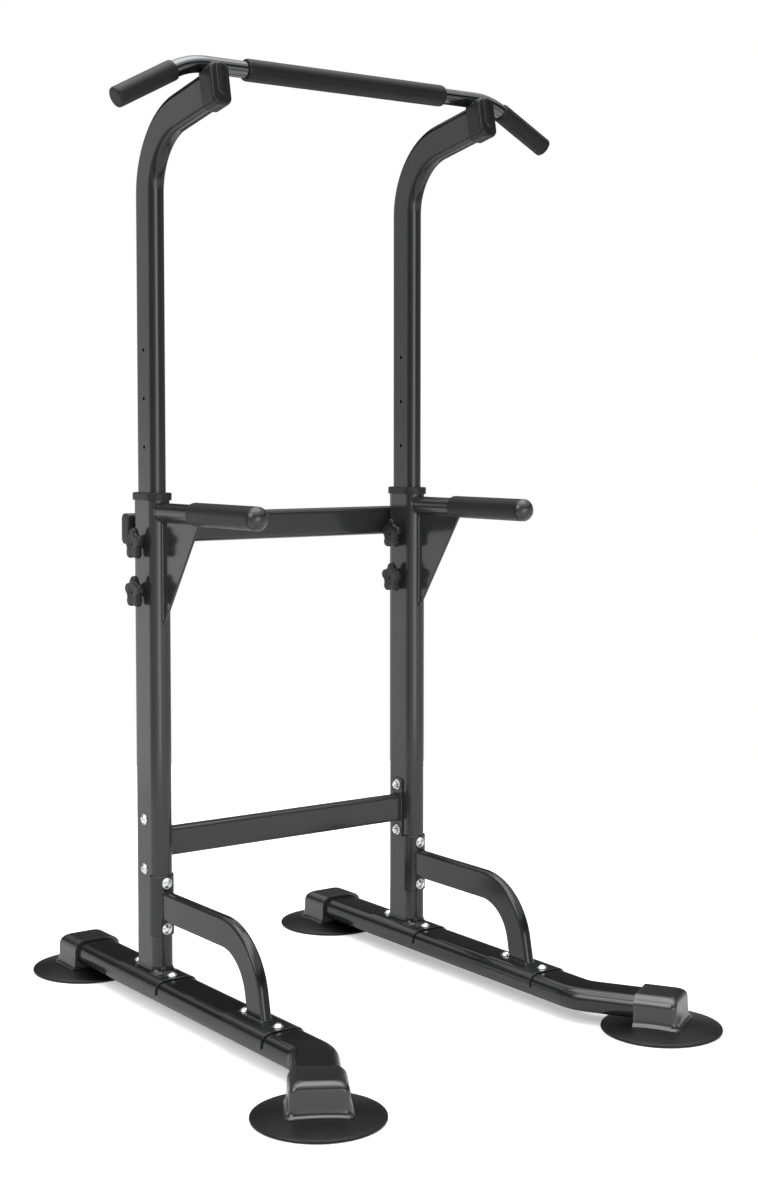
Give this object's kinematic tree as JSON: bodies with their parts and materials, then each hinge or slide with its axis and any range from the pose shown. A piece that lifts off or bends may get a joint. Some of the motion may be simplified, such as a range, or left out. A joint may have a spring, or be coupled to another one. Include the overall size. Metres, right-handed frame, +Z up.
{
  "type": "power tower",
  "caption": "Free-standing exercise tower with a height-adjustable pull-up bar on twin masts, dip handles, curved braces and disc feet.",
  "frame": {"origin": "centre of the rest footprint, on the floor under the four feet", "axes": "+Z up; -Y toward the user, the side the dip handles and the pull-up bar reach toward; +X to the user's right when facing the tower from the front"},
  "size_m": [0.9084, 1.094, 1.6284],
  "materials": {
    "frame_paint": "black powder coat, semi-gloss",
    "grey_plastic": "black moulded plastic, satin",
    "cap_plastic": "dark grey moulded plastic, satin",
    "pad_rubber": "dark grey rubber, satin",
    "knob_plastic": "black moulded plastic, satin",
    "gloss_cap": "black plastic, glossy",
    "foam": "closed-cell foam sleeve, matt",
    "bar_chrome": "satin chrome plating",
    "black_steel": "black oxide, satin",
    "zinc": "zinc plated, satin"
  },
  "bodies": {
    "base_frame": {"base_tube_left": "frame_paint", "base_tube_right": "frame_paint", "foot_cap_front_left": "cap_plastic", "foot_cap_front_right": "cap_plastic", "foot_cap_rear_left": "cap_plastic", "foot_cap_rear_right": "cap_plastic", "foot_pad_front_left": "pad_rubber", "foot_pad_front_right": "pad_rubber", "foot_pad_rear_left": "pad_rubber", "foot_pad_rear_right": "pad_rubber", "upright_left": "frame_paint", "upright_right": "frame_paint", "upright_saddle_left": "frame_paint", "upright_saddle_right": "frame_paint", "saddle_bolts": "zinc", "collar_left": "grey_plastic", "collar_right": "grey_plastic", "pin_bosses_left": "frame_paint", "pin_bosses_right": "frame_paint", "brace_left": "frame_paint", "brace_right": "frame_paint", "brace_plates_left": "frame_paint", "brace_plates_right": "frame_paint", "brace_bolts": "zinc", "lower_crossbar": "frame_paint", "lower_crossbar_plates": "frame_paint", "lower_crossbar_bolts": "zinc", "lower_crossbar_nuts": "zinc", "rear_crossbar": "frame_paint", "rear_crossbar_plugs": "grey_plastic", "rear_crossbar_bolts": "zinc", "dip_handle_left": "frame_paint", "dip_handle_right": "frame_paint", "dip_gusset_left": "frame_paint", "dip_gusset_right": "frame_paint", "dip_grip_left": "foam", "dip_grip_right": "foam", "dip_end_cap_left": "gloss_cap", "dip_end_cap_right": "gloss_cap"},
    "mast_frame": {"mast_left": "frame_paint", "mast_right": "frame_paint", "mast_glide_left": "grey_plastic", "mast_glide_right": "grey_plastic", "bar_bracket_left": "frame_paint", "bar_bracket_right": "frame_paint", "bar_grip_center": "foam", "bar_grip_left": "foam", "bar_grip_right": "foam", "bar_end_plugs": "grey_plastic", "pull_up_bar": "bar_chrome"},
    "pin_left_lower": {"pin_left_lower": "black_steel"},
    "knob_left_lower": {"knob_left_lower": "knob_plastic"},
    "pin_left_upper": {"pin_left_upper": "black_steel"},
    "knob_left_upper": {"knob_left_upper": "knob_plastic"},
    "pin_right_lower": {"pin_right_lower": "black_steel"},
    "knob_right_lower": {"knob_right_lower": "knob_plastic"},
    "pin_right_upper": {"pin_right_upper": "black_steel"},
    "knob_right_upper": {"knob_right_upper": "knob_plastic"}
  },
  "joints": [
    {"name": "height_adjust", "type": "slide", "parent": "base_frame", "child": "mast_frame", "axis": [0, 0, 1], "range_m": [-0.168, 0.168]},
    {"name": "screw_in_left_lower", "type": "slide", "parent": "base_frame", "child": "pin_left_lower", "axis": [1, 0, 0], "range_m": [0, 0.006]},
    {"name": "turn_knob_left_lower", "type": "hinge", "parent": "pin_left_lower", "child": "knob_left_lower", "pos_m": [-0.297, 0.183, 0.732], "axis": [1, 0, 0], "range_deg": [0, 1080]},
    {"name": "screw_in_left_upper", "type": "slide", "parent": "base_frame", "child": "pin_left_upper", "axis": [1, 0, 0], "range_m": [0, 0.006]},
    {"name": "turn_knob_left_upper", "type": "hinge", "parent": "pin_left_upper", "child": "knob_left_upper", "pos_m": [-0.297, 0.183, 0.816], "axis": [1, 0, 0], "range_deg": [0, 1080]},
    {"name": "screw_in_right_lower", "type": "slide", "parent": "base_frame", "child": "pin_right_lower", "axis": [1, 0, 0], "range_m": [0, 0.006]},
    {"name": "turn_knob_right_lower", "type": "hinge", "parent": "pin_right_lower", "child": "knob_right_lower", "pos_m": [0.257, 0.183, 0.732], "axis": [1, 0, 0], "range_deg": [0, 1080]},
    {"name": "screw_in_right_upper", "type": "slide", "parent": "base_frame", "child": "pin_right_upper", "axis": [1, 0, 0], "range_m": [0, 0.006]},
    {"name": "turn_knob_right_upper", "type": "hinge", "parent": "pin_right_upper", "child": "knob_right_upper", "pos_m": [0.257, 0.183, 0.816], "axis": [1, 0, 0], "range_deg": [0, 1080]}
  ],
  "couplings": [
    {"joint": "screw_in_left_lower", "follows": "turn_knob_left_lower", "m_per_rad": 0.00031831},
    {"joint": "screw_in_left_upper", "follows": "turn_knob_left_upper", "m_per_rad": 0.00031831},
    {"joint": "screw_in_right_lower", "follows": "turn_knob_right_lower", "m_per_rad": 0.00031831},
    {"joint": "screw_in_right_upper", "follows": "turn_knob_right_upper", "m_per_rad": 0.00031831}
  ]
}
